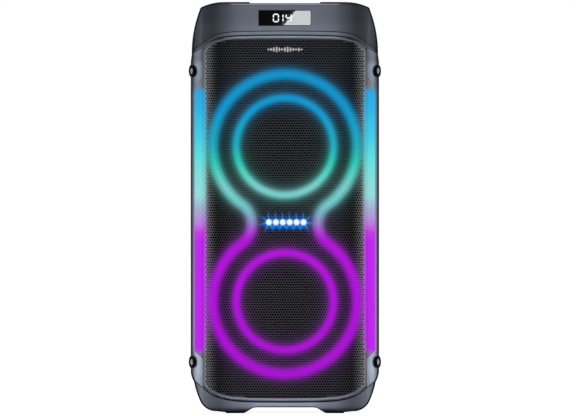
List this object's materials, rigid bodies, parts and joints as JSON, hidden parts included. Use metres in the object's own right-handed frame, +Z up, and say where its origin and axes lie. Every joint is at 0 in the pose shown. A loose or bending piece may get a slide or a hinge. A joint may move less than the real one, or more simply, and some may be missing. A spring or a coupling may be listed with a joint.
{
  "type": "party speaker",
  "caption": "Tall battery party speaker with a curved perforated grille, glowing light loops around its woofers, side light bars, a digit display and recessed top controls.",
  "frame": {"origin": "centre of the footprint on the floor", "axes": "+X to the right seen from the front, +Y to the back, +Z up; the grille faces -Y"},
  "size_m": [0.3182, 0.316, 0.68],
  "materials": {
    "cabinet_black": "fine grain",
    "frame_black": "fine grain",
    "baffle_black": "flat black",
    "fascia_grey": "satin metallic paint",
    "trim_grey": "satin metallic paint",
    "grille_mesh": "satin powder coat, perforated in the visual mesh",
    "pillar_silver": "satin metallic paint",
    "side_light": "frosted light lens",
    "ring_light": "frosted light guide",
    "loop_light": "frosted light guide",
    "circuit_board": "solder mask",
    "boss_black": "fine grain",
    "pin_metal": "satin",
    "basket_metal": "powder coat",
    "magnet_steel": "plated",
    "cone_paper": "coated",
    "dust_cap": "satin",
    "coil_copper": "enamelled wire",
    "surround_rubber": "matt",
    "spider_fabric": "woven",
    "tweeter_plate": "fine grain",
    "dome_silk": "doped silk",
    "strobe_housing": "bright reflector",
    "strobe_light": "clear lens",
    "display_smoke": "smoked window",
    "module_black": "flat black",
    "digit_light": "lit segments",
    "badge_silver": "bright",
    "panel_black": "semi gloss",
    "dial_black": "soft touch",
    "button_grey": "matt",
    "rear_panel_black": "fine grain",
    "socket_metal": "plated",
    "inlet_black": "moulded",
    "rocker_black": "moulded",
    "heat_sink_metal": "black anodised",
    "port_plastic": "fine grain",
    "handle_plastic": "fine grain",
    "battery_wrap": "shrink wrap",
    "wire_sleeve": "insulation",
    "foot_rubber": "matt",
    "screw_steel": "blackened"
  },
  "bodies": {
    "cabinet": {"cabinet_shell": "cabinet_black", "cabinet_back": "cabinet_black", "front_frame": "frame_black", "front_baffle": "baffle_black", "top_fascia": "fascia_grey", "top_trim": "trim_grey", "base_fascia": "fascia_grey", "grille": "grille_mesh", "side_pillar_left": "pillar_silver", "side_pillar_right": "pillar_silver", "side_light_lens_left": "side_light", "side_light_lens_right": "side_light", "inner_ring_diffusers": "ring_light", "outer_light_diffuser": "loop_light", "led_boards": "circuit_board", "corner_boss_rings": "boss_black", "corner_boss_pins": "pin_metal", "woofer_upper_basket": "basket_metal", "woofer_lower_basket": "basket_metal", "driver_magnets": "magnet_steel", "woofer_upper_surround": "surround_rubber", "woofer_lower_surround": "surround_rubber", "woofer_upper_spider": "spider_fabric", "woofer_lower_spider": "spider_fabric", "tweeter_plates": "tweeter_plate", "strobe_housing": "strobe_housing", "strobe_lenses": "strobe_light", "display_window": "display_smoke", "display_module": "module_black", "display_segments": "digit_light", "badge": "badge_silver", "control_panel": "panel_black", "rear_panel": "rear_panel_black", "rear_sockets": "socket_metal", "power_entry": "inlet_black", "heat_sink": "heat_sink_metal", "bass_port_tubes": "port_plastic", "rear_handle": "handle_plastic", "battery_pack": "battery_wrap", "amplifier_board": "circuit_board", "speaker_wires": "wire_sleeve", "rubber_feet": "foot_rubber", "panel_screws": "screw_steel"},
    "upper_woofer": {"woofer_upper_cone": "cone_paper", "woofer_upper_dust_cap": "dust_cap", "woofer_upper_voice_coil": "coil_copper"},
    "lower_woofer": {"woofer_lower_cone": "cone_paper", "woofer_lower_dust_cap": "dust_cap", "woofer_lower_voice_coil": "coil_copper"},
    "left_tweeter": {"tweeter_left_dome": "dome_silk"},
    "right_tweeter": {"tweeter_right_dome": "dome_silk"},
    "volume": {"volume_dial": "dial_black"},
    "microphone_level": {"microphone_dial": "dial_black"},
    "guitar_level": {"guitar_dial": "dial_black"},
    "rocker": {"power_rocker": "rocker_black"},
    "pairing": {"pairing_button": "button_grey"},
    "bass": {"bass_button": "button_grey"},
    "power": {"power_button": "button_grey"},
    "light": {"light_button": "button_grey"},
    "play": {"play_button": "button_grey"}
  },
  "joints": [
    {"name": "upper_woofer_travel", "type": "slide", "parent": "cabinet", "child": "upper_woofer", "axis": [0, -1, 0], "range_m": [-0.005, 0.005], "stiffness_N_per_m": 1500, "deforming": ["woofer_upper_surround", "woofer_upper_spider"]},
    {"name": "lower_woofer_travel", "type": "slide", "parent": "cabinet", "child": "lower_woofer", "axis": [0, -1, 0], "range_m": [-0.005, 0.005], "stiffness_N_per_m": 1500, "deforming": ["woofer_lower_surround", "woofer_lower_spider"]},
    {"name": "left_tweeter_travel", "type": "slide", "parent": "cabinet", "child": "left_tweeter", "axis": [0, -1, 0], "range_m": [-0.0002, 0.0002], "stiffness_N_per_m": 800},
    {"name": "right_tweeter_travel", "type": "slide", "parent": "cabinet", "child": "right_tweeter", "axis": [0, -1, 0], "range_m": [-0.0002, 0.0002], "stiffness_N_per_m": 800},
    {"name": "volume_turn", "type": "hinge", "parent": "cabinet", "child": "volume", "pos_m": [0, -0.042, 0.674], "axis": [0, 0, 1], "continuous": true},
    {"name": "pairing_press", "type": "slide", "parent": "cabinet", "child": "pairing", "axis": [0, 0, -1], "range_m": [0, 0.001], "stiffness_N_per_m": 500},
    {"name": "bass_press", "type": "slide", "parent": "cabinet", "child": "bass", "axis": [0, 0, -1], "range_m": [0, 0.001], "stiffness_N_per_m": 500},
    {"name": "power_press", "type": "slide", "parent": "cabinet", "child": "power", "axis": [0, 0, -1], "range_m": [0, 0.001], "stiffness_N_per_m": 500},
    {"name": "light_press", "type": "slide", "parent": "cabinet", "child": "light", "axis": [0, 0, -1], "range_m": [0, 0.001], "stiffness_N_per_m": 500},
    {"name": "play_press", "type": "slide", "parent": "cabinet", "child": "play", "axis": [0, 0, -1], "range_m": [0, 0.001], "stiffness_N_per_m": 500},
    {"name": "microphone_turn", "type": "hinge", "parent": "cabinet", "child": "microphone_level", "pos_m": [-0.022, 0.149, 0.262], "axis": [0, 1, 0], "range_deg": [-150, 150]},
    {"name": "guitar_turn", "type": "hinge", "parent": "cabinet", "child": "guitar_level", "pos_m": [-0.06, 0.149, 0.262], "axis": [0, 1, 0], "range_deg": [-150, 150]},
    {"name": "rocker_tip", "type": "hinge", "parent": "cabinet", "child": "rocker", "pos_m": [-0.03, 0.148, 0.092], "axis": [1, 0, 0], "range_deg": [-16, 0]}
  ]
}
